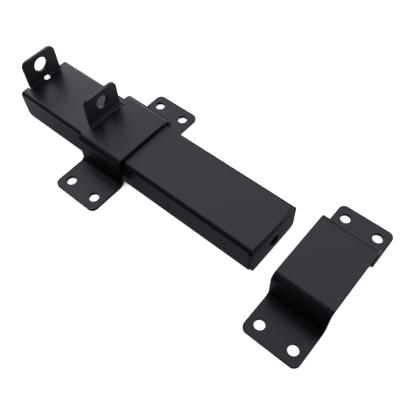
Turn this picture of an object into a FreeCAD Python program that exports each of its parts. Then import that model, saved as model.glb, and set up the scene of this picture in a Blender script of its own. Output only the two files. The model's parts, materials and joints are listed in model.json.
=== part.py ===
import FreeCAD, Part
import math
import os
import Sketcher
from FreeCAD import Placement, Rotation, Vector

# A padlock bolt folded from steel sheet. The channel-shaped bolt slides along X under a
# top-hat guide bracket and shoots into a second top-hat bracket, the receiver.
# The origin is the centre of the guide bracket on the mounting face, and +Z leaves that face.

# Driving dimensions in millimetres
SIZE = {
    "gauge": 3.0,
    "bolt_width": 60.0,
    "bolt_height": 30.0,
    "bolt_length": 288.0,
    "bolt_reach": 147.0,
    "bolt_lift": 0.4,
    "bolt_fold": 1.0,
    "foot_corner": 5.0,
    "nose_slit": 0.5,
    "nose_relief": 3.6,
    "nose_corner": 4.0,
    "nose_hole": 12.6,
    "nose_hole_height": 13.0,
    "side_clearance": 2.5,
    "roof_clearance": 0.9,
    "entry_clearance": 4.3,
    "bracket_fold": 4.0,
    "guide_length": 51.6,
    "guide_span": 146.5,
    "receiver_length": 53.2,
    "receiver_span": 150.0,
    "receiver_distance": 221.4,
    "flange_corner": 6.0,
    "fixing_hole": 9.4,
    "fixing_end_inset": 12.0,
    "fixing_side_inset": 10.6,
    "ear_width": 38.5,
    "ear_rise": 29.0,
    "ear_corner": 6.5,
    "ear_slit": 0.9,
    "bolt_ear_fold": 1.5,
    "guide_ear_overhang": 1.6,
    "bolt_padlock_hole": 15.0,
    "guide_padlock_hole": 13.2,
    "padlock_hole_inset": 12.0,
    "drain_hole_width": 6.9,
    "drain_hole_height": 4.0,
    "drain_hole_corner": 1.9,
    "drain_hole_offset": 1.4,
    "drain_hole_drop": 0.6,
}

# Places and sizes worked out from the driving dimensions
LAYOUT = {
    "sheet": "size.gauge",
    "bolt_across": "size.bolt_width",
    "bolt_half": "size.bolt_width / 2",
    "bolt_inner_half": "bolt_half - size.gauge",
    "bolt_inner_fold": "size.bolt_fold",
    "bolt_outer_fold": "size.bolt_fold + size.gauge",
    "bolt_bottom": "size.bolt_lift",
    "bolt_top": "bolt_bottom + size.bolt_height",
    "bolt_under": "bolt_top - size.gauge",
    "bolt_front": "size.guide_length / 2 + size.bolt_reach",
    "bolt_back": "bolt_front - size.bolt_length",
    "foot_round": "size.foot_corner",
    "wall_length": "size.bolt_length - size.gauge - size.nose_slit",
    "nose_back": "bolt_front - size.gauge",
    "nose_root": "nose_back - size.nose_slit - size.bolt_fold",
    "nose_depth": "bolt_front - nose_root",
    "nose_blank_half": "bolt_half + size.gauge",
    "nose_blank_bottom": "bolt_bottom - size.gauge",
    "nose_blank_top": "bolt_top + size.gauge",
    "nose_round": "size.nose_corner",
    "nose_relief_x": "nose_back - size.nose_slit / 2",
    "nose_relief_z": "bolt_under - size.bolt_fold",
    "nose_relief_radius": "size.nose_relief / 2",
    "nose_hole_radius": "size.nose_hole / 2",
    "nose_hole_level": "bolt_bottom + size.nose_hole_height",
    "ear_half": "size.ear_width / 2",
    "ear_tab_width": "size.ear_width",
    "ear_slot_half": "ear_half + size.ear_slit",
    "ear_round": "size.ear_corner",
    "bolt_padlock_radius": "size.bolt_padlock_hole / 2",
    "guide_padlock_radius": "size.guide_padlock_hole / 2",
    "bolt_ear_front": "bolt_back + size.gauge",
    "bolt_ear_inner_fold": "size.bolt_ear_fold",
    "bolt_ear_outer_fold": "size.bolt_ear_fold + size.gauge",
    "bolt_ear_start": "bolt_ear_front + size.bolt_ear_fold",
    "bolt_ear_root": "bolt_ear_start + size.gauge / 2",
    "bolt_ear_foot": "bolt_top + size.bolt_ear_fold",
    "bolt_ear_lap": "bolt_ear_foot + size.gauge / 2",
    "bolt_ear_top": "bolt_top + size.ear_rise",
    "bolt_ear_hole": "bolt_ear_top - size.padlock_hole_inset",
    "drain_left": "size.drain_hole_offset - size.drain_hole_width / 2",
    "drain_right": "size.drain_hole_offset + size.drain_hole_width / 2",
    "drain_low": "-size.drain_hole_drop - size.drain_hole_height / 2",
    "drain_high": "-size.drain_hole_drop + size.drain_hole_height / 2",
    "drain_round": "size.drain_hole_corner",
    "drain_start_x": "bolt_ear_start + size.drain_hole_width / 2",
    "drain_start_z": "bolt_ear_foot + size.drain_hole_width / 2",
    "bracket_inner_fold": "size.bracket_fold",
    "bracket_outer_fold": "size.bracket_fold + size.gauge",
    "bracket_under": "bolt_top + size.roof_clearance",
    "bracket_top": "bracket_under + size.gauge",
    "flange_round": "size.flange_corner",
    "fixing_radius": "size.fixing_hole / 2",
    "guide_strip": "size.guide_length",
    "guide_inner_half": "bolt_half + size.side_clearance",
    "guide_outer_half": "guide_inner_half + size.gauge",
    "guide_half_span": "size.guide_span / 2",
    "guide_fixing_x": "size.guide_length / 2 - size.fixing_side_inset",
    "guide_fixing_y": "guide_half_span - size.fixing_end_inset",
    "guide_back": "-size.guide_length / 2",
    "guide_ear_back": "guide_back - size.guide_ear_overhang",
    "guide_ear_front": "guide_ear_back + size.gauge",
    "guide_ear_root": "guide_ear_front + size.bracket_fold + size.gauge / 2",
    "guide_ear_foot": "bracket_top + size.bracket_fold",
    "guide_ear_lap": "guide_ear_foot + size.gauge / 2",
    "guide_ear_top": "bracket_top + size.ear_rise",
    "guide_ear_hole": "guide_ear_top - size.padlock_hole_inset",
    "receiver_strip": "size.receiver_length",
    "receiver_inner_half": "bolt_half + size.entry_clearance",
    "receiver_outer_half": "receiver_inner_half + size.gauge",
    "receiver_half_span": "size.receiver_span / 2",
    "receiver_fixing_x": "size.receiver_length / 2 - size.fixing_side_inset",
    "receiver_fixing_y": "receiver_half_span - size.fixing_end_inset",
    "receiver_centre": "size.receiver_distance",
}

ZERO = "zero"
NEAR = 0.001
EAR_FOLD_LEAN = -45

doc = FreeCAD.newDocument("padbolt")


def fill_sheet(name, entries, mark):
    sheet = doc.addObject("Spreadsheet::Sheet", name)
    for row, (alias, content) in enumerate(entries.items(), start=1):
        sheet.set(f"A{row}", alias)
        sheet.set(f"B{row}", mark + str(content))
        sheet.setAlias(f"B{row}", alias)
    doc.recompute()
    return sheet


fill_sheet("size", SIZE, "")
layout_sheet = fill_sheet("layout", LAYOUT, "=")


def amount(alias):
    if alias == ZERO:
        return 0.0
    sign = -1.0 if alias.startswith("-") else 1.0
    return sign * float(layout_sheet.get(alias.lstrip("-")))


def bound(alias):
    sign = "-" if alias.startswith("-") else ""
    return sign + "layout." + alias.lstrip("-")


# Sketches
def new_sketch(body, name, role, offset=None):
    sketch = body.newObject("Sketcher::SketchObject", name)
    plane = next(item for item in body.Origin.OriginFeatures if item.Role == role)
    sketch.AttachmentSupport = [(plane, "")]
    sketch.MapMode = "FlatFace"
    if offset is not None:
        sketch.setExpression("AttachmentOffset.Base.z", bound(offset))
    return sketch


def hold(sketch, kind, geometry, point, alias):
    if alias == ZERO:
        axis = -2 if kind == "DistanceX" else -1
        sketch.addConstraint(Sketcher.Constraint("PointOnObject", geometry, point, axis))
        return
    place = Sketcher.Constraint(kind, -1, 1, geometry, point, amount(alias))
    index = sketch.addConstraint(place)
    sketch.setExpression(f"Constraints[{index}]", bound(alias))


def hold_radius(sketch, geometry, alias):
    index = sketch.addConstraint(Sketcher.Constraint("Radius", geometry, amount(alias)))
    sketch.setExpression(f"Constraints[{index}]", bound(alias))


def is_level(direction):
    return abs(direction.y) < NEAR


def add_corner_arc(sketch, corner, incoming, outgoing, radius):
    start = corner - incoming * radius
    end = corner + outgoing * radius
    centre = start + outgoing * radius
    first = math.atan2(start.y - centre.y, start.x - centre.x)
    last = math.atan2(end.y - centre.y, end.x - centre.x)
    left_turn = incoming.cross(outgoing).z > 0
    span = (first, last) if left_turn else (last, first)
    circle = Part.Circle(centre, Vector(0, 0, 1), radius)
    arc = sketch.addGeometry(Part.ArcOfCircle(circle, *span), False)
    return arc, left_turn


# A closed outline of level and upright lines. A corner is (across, up) or
# (across, up, radius), in names from the layout sheet, and a radius rounds it with an arc.
def square_outline(sketch, corners):
    count = len(corners)
    points = [Vector(amount(corner[0]), amount(corner[1]), 0) for corner in corners]
    radii = [amount(corner[2]) if len(corner) == 3 else 0.0 for corner in corners]
    ways = []
    lines = []
    for index in range(count):
        following = (index + 1) % count
        way = (points[following] - points[index]).normalize()
        start = points[index] + way * radii[index]
        end = points[following] - way * radii[following]
        line = sketch.addGeometry(Part.LineSegment(start, end), False)
        direction = "Horizontal" if is_level(way) else "Vertical"
        sketch.addConstraint(Sketcher.Constraint(direction, line))
        ways.append(way)
        lines.append(line)
    for index, corner in enumerate(corners):
        before, line = lines[index - 1], lines[index]
        if radii[index] == 0.0:
            sketch.addConstraint(Sketcher.Constraint("Coincident", before, 2, line, 1))
            continue
        arc, left_turn = add_corner_arc(
            sketch, points[index], ways[index - 1], ways[index], radii[index])
        entry, leaving = (1, 2) if left_turn else (2, 1)
        sketch.addConstraint(Sketcher.Constraint("Tangent", before, 2, arc, entry))
        sketch.addConstraint(Sketcher.Constraint("Tangent", arc, leaving, line, 1))
        hold_radius(sketch, arc, corner[2])
    for line, way, corner in zip(lines, ways, corners):
        if is_level(way):
            hold(sketch, "DistanceY", line, 1, corner[1])
        else:
            hold(sketch, "DistanceX", line, 1, corner[0])


def circle_at(sketch, across, up, radius):
    centre = Vector(amount(across), amount(up), 0)
    ring = sketch.addGeometry(Part.Circle(centre, Vector(0, 0, 1), amount(radius)), False)
    hold(sketch, "DistanceX", ring, 3, across)
    hold(sketch, "DistanceY", ring, 3, up)
    hold_radius(sketch, ring, radius)


# Features
def pad(body, sketch, name, length, symmetric=False):
    feature = body.newObject("PartDesign::Pad", name)
    feature.Profile = sketch
    feature.SideType = "Symmetric" if symmetric else "One side"
    feature.setExpression("Length", bound(length))
    doc.recompute()
    return feature


def pocket(body, sketch, name, length=None, upward=False):
    before = body.Shape.Volume
    feature = body.newObject("PartDesign::Pocket", name)
    feature.Profile = sketch
    feature.Reversed = upward
    if length is None:
        feature.Type = "ThroughAll"
    else:
        feature.setExpression("Length", bound(length))
    doc.recompute()
    if body.Shape.Volume > before - NEAR:
        raise RuntimeError(f"{name} removes nothing from {body.Label}")
    return feature


def straight_edges(shape, axis, chosen):
    names = []
    for number, edge in enumerate(shape.Edges, start=1):
        start = edge.Vertexes[0].Point
        end = edge.Vertexes[-1].Point
        run = end - start
        if run.Length > NEAR and run.cross(axis).Length < NEAR and chosen(start):
            names.append(f"Edge{number}")
    return names


def round_edges(body, name, axis, chosen, radius):
    base = body.Tip
    feature = body.newObject("PartDesign::Fillet", name)
    feature.Base = (base, straight_edges(base.Shape, axis, chosen))
    feature.setExpression("Radius", bound(radius))
    doc.recompute()
    return feature


def new_body(label):
    body = doc.addObject("PartDesign::Body", label)
    body.Label = label
    body.Placement = Placement(Vector(0, 0, 0), Rotation())
    return body


# An ear stands on a tab between two slits in the rear edge of a plate, folded up through
# a quarter turn, with two round top corners and a hole for the padlock's shackle.
def fold_ear(body, ear, slot_back, plate_top, plate_under):
    front, back, root, foot, lap, top, hole, hole_radius, inner_fold, outer_fold = ear
    slot = new_sketch(body, body.Label + "_ear_slot_sketch", "XY_Plane", plate_top)
    square_outline(slot, [
        (slot_back, "-ear_slot_half"), (root, "-ear_slot_half"),
        (root, "ear_slot_half"), (slot_back, "ear_slot_half")])
    pocket(body, slot, body.Label + "_ear_slot", "sheet")

    tab = new_sketch(body, body.Label + "_ear_tab_sketch", "XZ_Plane")
    square_outline(tab, [
        (root, plate_top), (front, plate_top, inner_fold), (front, lap),
        (back, lap), (back, plate_under, outer_fold), (root, plate_under)])
    pad(body, tab, body.Label + "_ear_tab", "ear_tab_width", symmetric=True)

    leaf = new_sketch(body, body.Label + "_ear_leaf_sketch", "YZ_Plane", back)
    square_outline(leaf, [
        ("-ear_half", foot), ("ear_half", foot),
        ("ear_half", top, "ear_round"), ("-ear_half", top, "ear_round")])
    pad(body, leaf, body.Label + "_ear_leaf", "sheet")

    shackle = new_sketch(body, body.Label + "_padlock_sketch", "YZ_Plane", front)
    circle_at(shackle, ZERO, hole, hole_radius)
    pocket(body, shackle, body.Label + "_padlock_hole", "sheet")


# The nose: the top plate folded down over the whole width, then cut to the bolt's own outline.
# The two lower corners of its leaf are rounded.
def make_nose(body):
    fold = new_sketch(body, "nose_fold_sketch", "XZ_Plane")
    square_outline(fold, [
        ("nose_root", "bolt_under"), ("nose_back", "bolt_under", "bolt_inner_fold"),
        ("nose_back", "bolt_bottom"), ("bolt_front", "bolt_bottom"),
        ("bolt_front", "bolt_top", "bolt_outer_fold"), ("nose_root", "bolt_top")])
    pad(body, fold, "nose_fold", "bolt_across", symmetric=True)

    blank = new_sketch(body, "nose_outline_sketch", "YZ_Plane", "bolt_front")
    square_outline(blank, [
        ("-nose_blank_half", "nose_blank_bottom"), ("nose_blank_half", "nose_blank_bottom"),
        ("nose_blank_half", "nose_blank_top"), ("-nose_blank_half", "nose_blank_top")])
    square_outline(blank, [
        ("-bolt_half", "bolt_bottom", "nose_round"), ("bolt_half", "bolt_bottom", "nose_round"),
        ("bolt_half", "bolt_top", "bolt_outer_fold"),
        ("-bolt_half", "bolt_top", "bolt_outer_fold")])
    pocket(body, blank, "nose_outline", "nose_depth")

    opening = new_sketch(body, "nose_hole_sketch", "YZ_Plane", "bolt_front")
    circle_at(opening, ZERO, "nose_hole_level", "nose_hole_radius")
    pocket(body, opening, "nose_hole", "sheet")


# A round relief in each top corner of the nose, at the end of the slit that parts nose and wall
def cut_nose_reliefs(body):
    for side, face, upward in (("near", "bolt_half", False), ("far", "-bolt_half", True)):
        relief = new_sketch(body, side + "_relief_sketch", "XZ_Plane", face)
        circle_at(relief, "nose_relief_x", "nose_relief_z", "nose_relief_radius")
        pocket(body, relief, side + "_nose_relief", "sheet", upward)


# The bolt: a top plate with two side walls, a nose folded down in front and an ear behind
def make_bolt():
    body = new_body("bolt")
    make_nose(body)
    section = new_sketch(body, "bolt_section", "YZ_Plane", "bolt_back")
    square_outline(section, [
        ("-bolt_half", "bolt_bottom"), ("-bolt_inner_half", "bolt_bottom"),
        ("-bolt_inner_half", "bolt_under", "bolt_inner_fold"),
        ("bolt_inner_half", "bolt_under", "bolt_inner_fold"),
        ("bolt_inner_half", "bolt_bottom"), ("bolt_half", "bolt_bottom"),
        ("bolt_half", "bolt_top", "bolt_outer_fold"),
        ("-bolt_half", "bolt_top", "bolt_outer_fold")])
    pad(body, section, "bolt_channel", "wall_length")
    cut_nose_reliefs(body)

    ear = ("bolt_ear_front", "bolt_back", "bolt_ear_root", "bolt_ear_foot", "bolt_ear_lap",
           "bolt_ear_top", "bolt_ear_hole", "bolt_padlock_radius", "bolt_ear_inner_fold",
           "bolt_ear_outer_fold")
    fold_ear(body, ear, "bolt_back", "bolt_top", "bolt_under")

    drain = new_sketch(body, "drain_hole_sketch", "YZ_Plane")
    drain.AttachmentOffset = Placement(Vector(0, 0, 0), Rotation(Vector(1, 0, 0), EAR_FOLD_LEAN))
    drain.setExpression("AttachmentOffset.Base.y", bound("drain_start_z"))
    drain.setExpression("AttachmentOffset.Base.z", bound("drain_start_x"))
    square_outline(drain, [
        ("drain_left", "drain_low", "drain_round"), ("drain_right", "drain_low", "drain_round"),
        ("drain_right", "drain_high", "drain_round"), ("drain_left", "drain_high", "drain_round")])
    pocket(body, drain, "drain_hole")

    back = amount("bolt_back")
    bottom = amount("bolt_bottom")
    round_edges(body, "foot_corners", Vector(0, 1, 0),
                lambda point: abs(point.x - back) < NEAR and abs(point.z - bottom) < NEAR,
                "foot_round")
    return body


# A bracket: one strip folded into a top hat, with two screw flanges and rounded corners
def make_bracket(label):
    body = new_body(label)
    inner, outer = label + "_inner_half", label + "_outer_half"
    end = label + "_half_span"
    section = new_sketch(body, label + "_section", "YZ_Plane")
    square_outline(section, [
        ("-" + end, ZERO), ("-" + inner, ZERO, "bracket_outer_fold"),
        ("-" + inner, "bracket_under", "bracket_inner_fold"),
        (inner, "bracket_under", "bracket_inner_fold"),
        (inner, ZERO, "bracket_outer_fold"), (end, ZERO), (end, "sheet"),
        (outer, "sheet", "bracket_inner_fold"), (outer, "bracket_top", "bracket_outer_fold"),
        ("-" + outer, "bracket_top", "bracket_outer_fold"),
        ("-" + outer, "sheet", "bracket_inner_fold"), ("-" + end, "sheet")])
    pad(body, section, label + "_strip_pad", label + "_strip", symmetric=True)

    holes = new_sketch(body, label + "_fixing_sketch", "XY_Plane")
    for across in (label + "_fixing_x", "-" + label + "_fixing_x"):
        for up in (label + "_fixing_y", "-" + label + "_fixing_y"):
            circle_at(holes, across, up, "fixing_radius")
    pocket(body, holes, label + "_fixing_holes", upward=True)

    reach = amount(end)
    round_edges(body, label + "_flange_corners", Vector(0, 0, 1),
                lambda point: abs(abs(point.y) - reach) < NEAR, "flange_round")
    return body


def make_guide():
    body = make_bracket("guide")
    ear = ("guide_ear_front", "guide_ear_back", "guide_ear_root", "guide_ear_foot",
           "guide_ear_lap", "guide_ear_top", "guide_ear_hole", "guide_padlock_radius",
           "bracket_inner_fold", "bracket_outer_fold")
    fold_ear(body, ear, "guide_back", "bracket_top", "bracket_under")
    body.Label = "guide_bracket"
    return body


def make_receiver():
    body = make_bracket("receiver")
    body.setExpression("Placement.Base.x", bound("receiver_centre"))
    body.Label = "receiver_bracket"
    return body


parts = [make_bolt(), make_guide(), make_receiver()]
doc.recompute()

faults = [item.Label for item in doc.Objects if {"Invalid", "Error"} & set(item.State)]
if faults:
    raise RuntimeError("not computed: " + ", ".join(faults))

os.makedirs("parts", exist_ok=True)
for body in parts:
    if body.Shape.isNull() or not body.Shape.isValid() or len(body.Shape.Solids) != 1:
        raise RuntimeError(body.Label + " is not one sound solid")
    body.Shape.exportStep(f"parts/{body.Label}.step")
    box = body.Shape.BoundBox
    print(body.Label, "volume", round(body.Shape.Volume))
    print("  lowest corner", round(box.XMin, 2), round(box.YMin, 2), round(box.ZMin, 2))
    print("  highest corner", round(box.XMax, 2), round(box.YMax, 2), round(box.ZMax, 2))
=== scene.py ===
import json
import math

import bmesh
import bpy
from mathutils import Matrix, Vector


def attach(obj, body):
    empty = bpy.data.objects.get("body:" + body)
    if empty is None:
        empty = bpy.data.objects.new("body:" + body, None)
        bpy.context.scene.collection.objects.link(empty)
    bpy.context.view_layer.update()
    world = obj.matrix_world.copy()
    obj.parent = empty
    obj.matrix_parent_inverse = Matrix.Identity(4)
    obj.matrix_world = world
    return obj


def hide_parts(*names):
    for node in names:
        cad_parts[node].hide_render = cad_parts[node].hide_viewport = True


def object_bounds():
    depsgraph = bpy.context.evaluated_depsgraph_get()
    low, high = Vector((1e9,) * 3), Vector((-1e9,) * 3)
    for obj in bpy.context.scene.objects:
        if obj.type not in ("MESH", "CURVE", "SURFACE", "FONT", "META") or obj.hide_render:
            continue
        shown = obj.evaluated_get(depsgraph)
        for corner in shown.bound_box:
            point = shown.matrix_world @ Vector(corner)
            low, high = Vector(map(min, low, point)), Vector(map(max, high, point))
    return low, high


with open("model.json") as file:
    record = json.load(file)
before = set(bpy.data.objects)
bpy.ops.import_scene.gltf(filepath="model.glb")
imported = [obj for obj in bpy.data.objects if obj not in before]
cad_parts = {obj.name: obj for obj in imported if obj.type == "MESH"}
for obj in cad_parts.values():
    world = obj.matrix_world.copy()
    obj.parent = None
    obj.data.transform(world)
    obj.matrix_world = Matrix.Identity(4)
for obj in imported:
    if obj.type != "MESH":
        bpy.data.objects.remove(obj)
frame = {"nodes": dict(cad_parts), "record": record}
cad_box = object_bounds()

# Lengths are in metres
MILLIMETRE = 0.001
WHITE = (1.0, 1.0, 1.0, 1.0)

# The camera: its place, the direction it looks in and the direction of the picture's right side
CAMERA_PLACE = Vector((0.27843, -0.19818, 0.39793))
CAMERA_LOOK = Vector((-0.36838, 0.40892, -0.83491))
CAMERA_RIGHT = Vector((0.76714, 0.64101, -0.02452))
PICTURE_SIDE_PIXELS = 416
FOCAL_PIXELS = 526.91
SENSOR_WIDTH_MM = 36.0

# The coat softens the cut edges of the sheet, apart from those at narrow faces and those shorter
# than SHORT_EDGE that meet one of them
EDGE_ROUND = 0.3 * MILLIMETRE
EDGE_SEGMENTS = 3
EDGE_PROFILE = 0.5
SHORT_EDGE = 4.0 * MILLIMETRE

# Vertices nearer to each other than this are one vertex, and faces that meet at less one face
WELD_DISTANCE = 0.002 * MILLIMETRE
FLAT_ANGLE = math.radians(0.3)

# Edges sharper than this are cut edges, and flatter ones than this are shaded smooth
CUT_ANGLE = math.radians(50)
SMOOTH_ANGLE = math.radians(42)

# The coat's skin and the noises in it: each one's size, detail and roughness. Most of their values
# lie in NOISE_RANGE.
COAT_TONE = (0.020, 0.020, 0.021)
COAT_ROUGHNESS = 0.36
COAT_IOR = 1.5
GRAIN = (1.1 * MILLIMETRE, 3.0, 0.6)
PITS = (0.45 * MILLIMETRE, 2.0, 0.55)
RIPPLE = (3.2 * MILLIMETRE, 1.0, 0.55)
CLOUDS = (28 * MILLIMETRE, 3.0, 0.55)
PATCHES = (9 * MILLIMETRE, 2.0, 0.55)
NOISE_RANGE = (0.3, 0.7)
GRAIN_DEPTH = 0.07 * MILLIMETRE
PIT_DEPTH = 0.02 * MILLIMETRE
RIPPLE_DEPTH = 0.05 * MILLIMETRE

# How far the grain and the clouds change the coat's tone, as shares of it, and its roughness
GRAIN_TONE = 0.22
CLOUD_TONE = 0.02
GRAIN_ROUGHNESS = 0.05

# Edges are rubbed in patches, where the coat is smoother and lighter by a share of its tone: the
# lightening is partly worn coat and partly a painted highlight where the rounded edges catch light
PATCH_RANGE = (0.35, 0.65)
PATCH_WEAR_AND_HIGHLIGHT = (0.35, 1.0)
WEAR_AND_HIGHLIGHT_TONE = 1.1
RUBBED_ROUGHNESS = -0.10

FLOOR_SIDE = 6.0
FLOOR_TONE = (0.8, 0.8, 0.8, 1.0)
FLOOR_ROUGHNESS = 0.9

# The floor glows white, but less where a piece stands within SHADE_REACH of it: not at all where
# the space over it is open by SHADE_FULL or less, and fully from SHADE_NONE
SHADE_REACH = 60 * MILLIMETRE
SHADE_FULL = 0.10
SHADE_NONE = 0.36

# Round soft lights far away: azimuth, elevation and half width in degrees, and strength
SOFT_LIGHTS = {
    "behind_low": (160, 15, 20, 2.3),
    "behind_left_low": (135, 15, 14, 2.3),
    "behind": (170, 38, 20, 0.8),
    "behind_high": (160, 60, 12, 0.75),
    "left_high": (105, 57, 20, 1.1),
    "left": (60, 0, 20, 4.2),
    "table_left": (60, -20, 20, 2.1),
    "table_ahead": (62, -52, 16, 0.08),
    "table_far": (85, -25, 18, 0.3),
    "table_behind": (200, -20, 20, 0.95),
    "table_near": (245, -48, 20, 0.2),
}

# A light is full up to its core and ends at its rim, both as shares of its half width
LIGHT_CORE = 0.7
LIGHT_RIM = 1.3
LIGHT_TINT = (0.94, 0.975, 1.13, 1.0)

# The room between the lights is dark at the horizon and grows to these levels at these heights,
# which are the Z of the unit vector that looks there
SKY_HEIGHT = 0.35
SKY_LEVEL = 0.05
TABLE_HEIGHT = -0.25
TABLE_LEVEL = 0.04

bodies = {
    member: body
    for body, members in frame["record"]["behaviour"]["bodies"].items()
    for member in members
}
slots = {part["node"]: part["material_slot"] for part in frame["record"]["subparts"]}


# Shader helpers
def add_node(tree, kind, **inputs):
    node = tree.nodes.new(kind)
    for name, value in inputs.items():
        node.inputs[name.replace("_", " ")].default_value = value
    return node


def noise(tree, place, size, detail, roughness):
    node = add_node(
        tree, "ShaderNodeTexNoise", Scale=1.0 / size, Detail=detail, Roughness=roughness)
    tree.links.new(place, node.inputs["Vector"])
    return node.outputs["Fac"]


def remap(tree, value, source, target):
    node = add_node(
        tree, "ShaderNodeMapRange",
        From_Min=source[0], From_Max=source[1], To_Min=target[0], To_Max=target[1])
    tree.links.new(value, node.inputs["Value"])
    return node.outputs["Result"]


def combine(tree, operation, first, second):
    node = tree.nodes.new("ShaderNodeMath")
    node.operation = operation
    tree.links.new(first, node.inputs[0])
    tree.links.new(second, node.inputs[1])
    return node.outputs["Value"]


def bump(tree, height, depth, normal=None):
    node = add_node(tree, "ShaderNodeBump", Strength=1.0, Distance=depth)
    tree.links.new(height, node.inputs["Height"])
    if normal is not None:
        tree.links.new(normal, node.inputs["Normal"])
    return node.outputs["Normal"]


def around(middle, reach):
    return middle - reach, middle + reach


# Black powder coat: a satin skin with a fine grain, a soft ripple and edges a little lighter,
# partly from wear and partly as a painted highlight
def powder_coat(name):
    material = bpy.data.materials.new(name)
    material.use_nodes = True
    tree = material.node_tree
    shader = tree.nodes["Principled BSDF"]
    shader.inputs["IOR"].default_value = COAT_IOR
    place = tree.nodes.new("ShaderNodeTexCoord").outputs["Object"]

    grain = noise(tree, place, *GRAIN)
    pits = noise(tree, place, *PITS)
    ripple = noise(tree, place, *RIPPLE)
    clouds = noise(tree, place, *CLOUDS)
    patches = noise(tree, place, *PATCHES)

    # The rounded edges' mark, in patches: worn coat, and a painted highlight that lightens the tone
    # there
    edge = tree.nodes.new("ShaderNodeAttribute")
    edge.attribute_name = "wear_and_highlight"
    wear_and_highlight_share = remap(tree, patches, PATCH_RANGE, PATCH_WEAR_AND_HIGHLIGHT)
    wear_and_highlight = combine(tree, "MULTIPLY", edge.outputs["Fac"], wear_and_highlight_share)

    shade = combine(
        tree, "ADD",
        remap(tree, clouds, NOISE_RANGE, around(1.0, CLOUD_TONE)),
        remap(tree, grain, NOISE_RANGE, around(0.0, GRAIN_TONE)))
    # Painted highlight and wear: the marked edges are lighter by a share of the coat's tone
    shade = combine(tree, "ADD", shade, remap(tree, wear_and_highlight, (0.0, 1.0), (0.0, WEAR_AND_HIGHLIGHT_TONE)))
    tone = tree.nodes.new("ShaderNodeVectorMath")
    tone.operation = "SCALE"
    tone.inputs[0].default_value = COAT_TONE
    tree.links.new(shade, tone.inputs["Scale"])
    tree.links.new(tone.outputs["Vector"], shader.inputs["Base Color"])

    roughness = combine(
        tree, "ADD",
        remap(tree, grain, NOISE_RANGE, around(COAT_ROUGHNESS, GRAIN_ROUGHNESS)),
        remap(tree, wear_and_highlight, (0.0, 1.0), (0.0, RUBBED_ROUGHNESS)))
    tree.links.new(roughness, shader.inputs["Roughness"])

    skin = bump(tree, ripple, RIPPLE_DEPTH)
    skin = bump(tree, grain, GRAIN_DEPTH, skin)
    skin = bump(tree, pits, PIT_DEPTH, skin)
    tree.links.new(skin, shader.inputs["Normal"])
    return material


# A strip is a face too narrow to be rounded, or one of the faces that round an edge
def is_strip(face):
    longest = max(edge.calc_length() for edge in face.edges)
    return face.calc_area() < EDGE_ROUND * longest


# The sheet's cut edges, without those at narrow faces and the short ones next to them, which have
# no room for a round
def roomy_cut_edges(mesh):
    crowded = set()
    roomy = []
    for edge in mesh.edges:
        if edge.calc_face_angle() > CUT_ANGLE:
            if any(is_strip(face) for face in edge.link_faces):
                crowded.update(edge.verts)
            else:
                roomy.append(edge)
    return [
        edge for edge in roomy
        if edge.calc_length() > SHORT_EDGE or crowded.isdisjoint(edge.verts)
    ]


def round_cut_edges(mesh):
    bmesh.ops.remove_doubles(mesh, verts=mesh.verts, dist=WELD_DISTANCE)
    bmesh.ops.dissolve_limit(mesh, angle_limit=FLAT_ANGLE, verts=mesh.verts, edges=mesh.edges)
    bmesh.ops.bevel(
        mesh, geom=roomy_cut_edges(mesh), offset=EDGE_ROUND, segments=EDGE_SEGMENTS,
        profile=EDGE_PROFILE, affect="EDGES", clamp_overlap=False)


# Marks the vertices of the rounded edges, where the coat is worn and a painted highlight lightens
# it
def mark_wear_and_highlight_edges(mesh):
    wear_and_highlight = mesh.verts.layers.float.new("wear_and_highlight")
    for vert in mesh.verts:
        vert[wear_and_highlight] = float(all(is_strip(face) for face in vert.link_faces))


def smooth_folds(mesh):
    for face in mesh.faces:
        face.smooth = True
    for edge in mesh.edges:
        edge.smooth = not edge.is_manifold or edge.calc_face_angle() < SMOOTH_ANGLE


# A coated piece has its node's form, with the cut edges rounded by the thickness of the coat
def coated_piece(node, coat):
    mesh = bmesh.new()
    mesh.from_mesh(frame["nodes"][node].data)
    round_cut_edges(mesh)
    mark_wear_and_highlight_edges(mesh)
    smooth_folds(mesh)
    data = bpy.data.meshes.new(node + "_coated")
    mesh.to_mesh(data)
    mesh.free()
    data.materials.append(coat)
    piece = bpy.data.objects.new(node + "_coated", data)
    bpy.context.scene.collection.objects.link(piece)
    even = piece.modifiers.new("even_normals", "WEIGHTED_NORMAL")
    even.keep_sharp = True
    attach(piece, bodies[node])
    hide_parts(node)


# The floor is white to the camera, and dark only where a piece stands close over it
def floor_paper():
    material = bpy.data.materials.new("floor_paper")
    material.use_nodes = True
    tree = material.node_tree
    shader = tree.nodes["Principled BSDF"]
    shader.inputs["Base Color"].default_value = FLOOR_TONE
    shader.inputs["Roughness"].default_value = FLOOR_ROUGHNESS
    shader.inputs["Emission Color"].default_value = WHITE
    openness = add_node(tree, "ShaderNodeAmbientOcclusion", Distance=SHADE_REACH)
    light = remap(tree, openness.outputs["AO"], (SHADE_FULL, SHADE_NONE), (0.0, 1.0))
    tree.links.new(light, shader.inputs["Emission Strength"])
    return material


def make_floor():
    bpy.ops.mesh.primitive_plane_add(size=FLOOR_SIDE)
    floor = bpy.context.object
    floor.name = "floor"
    floor.location.z = cad_box[0][2]
    floor.data.materials.append(floor_paper())
    floor.visible_glossy = False
    floor.visible_diffuse = False
    floor.visible_shadow = False


def soft_light(tree, direction, azimuth, elevation, half_width, strength):
    azimuth = math.radians(azimuth)
    elevation = math.radians(elevation)
    towards = tree.nodes.new("ShaderNodeVectorMath")
    towards.operation = "DOT_PRODUCT"
    towards.inputs[1].default_value = (
        math.cos(elevation) * math.cos(azimuth),
        math.cos(elevation) * math.sin(azimuth),
        math.sin(elevation))
    tree.links.new(direction, towards.inputs[0])
    rim = math.cos(math.radians(half_width * LIGHT_RIM))
    core = math.cos(math.radians(half_width * LIGHT_CORE))
    return remap(tree, towards.outputs["Value"], (rim, core), (0.0, strength))


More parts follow.
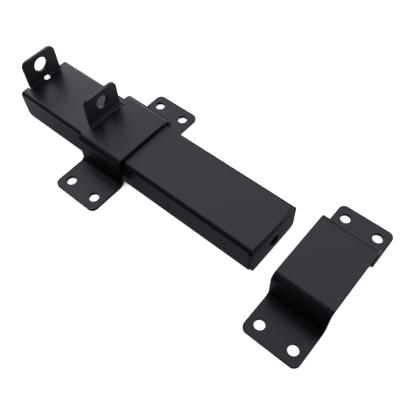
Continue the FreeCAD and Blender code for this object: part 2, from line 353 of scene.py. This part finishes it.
# The coat sees a dim room with soft lights in it
def room_light(tree):
    direction = tree.nodes.new("ShaderNodeTexCoord").outputs["Generated"]
    split = tree.nodes.new("ShaderNodeSeparateXYZ")
    tree.links.new(direction, split.inputs["Vector"])
    height = split.outputs["Z"]
    level = combine(
        tree, "ADD",
        remap(tree, height, (0.0, SKY_HEIGHT), (0.0, SKY_LEVEL)),
        remap(tree, height, (TABLE_HEIGHT, 0.0), (TABLE_LEVEL, 0.0)))
    for light in SOFT_LIGHTS.values():
        level = combine(tree, "ADD", level, soft_light(tree, direction, *light))
    return level


# The surroundings are white to the camera, and the room to all else
def make_surroundings():
    world = bpy.data.worlds.new("studio")
    bpy.context.scene.world = world
    world.use_nodes = True
    tree = world.node_tree
    room = tree.nodes["Background"]
    room.inputs["Color"].default_value = LIGHT_TINT
    tree.links.new(room_light(tree), room.inputs["Strength"])
    backdrop = add_node(tree, "ShaderNodeBackground", Color=WHITE)
    path = tree.nodes.new("ShaderNodeLightPath")
    seen = tree.nodes.new("ShaderNodeMixShader")
    tree.links.new(path.outputs["Is Camera Ray"], seen.inputs["Fac"])
    tree.links.new(room.outputs["Background"], seen.inputs[1])
    tree.links.new(backdrop.outputs["Background"], seen.inputs[2])
    tree.links.new(seen.outputs["Shader"], tree.nodes["World Output"].inputs["Surface"])


def make_camera():
    data = bpy.data.cameras.new("camera")
    data.sensor_fit = "HORIZONTAL"
    data.sensor_width = SENSOR_WIDTH_MM
    data.lens = SENSOR_WIDTH_MM * FOCAL_PIXELS / PICTURE_SIDE_PIXELS
    camera = bpy.data.objects.new("camera", data)
    back = -CAMERA_LOOK.normalized()
    right = (CAMERA_RIGHT - CAMERA_RIGHT.dot(back) * back).normalized()
    turn = Matrix((right, back.cross(right), back)).transposed()
    camera.matrix_world = Matrix.Translation(CAMERA_PLACE) @ turn.to_4x4()
    bpy.context.scene.collection.objects.link(camera)
    bpy.context.scene.camera = camera


coats = {
    "bolt_coat": powder_coat("bolt_powder_coat"),
    "bracket_coat": powder_coat("bracket_powder_coat"),
}
for node in frame["nodes"]:
    coated_piece(node, coats[slots[node]])

make_floor()
make_surroundings()
make_camera()
bpy.context.scene.view_settings.view_transform = "Standard"
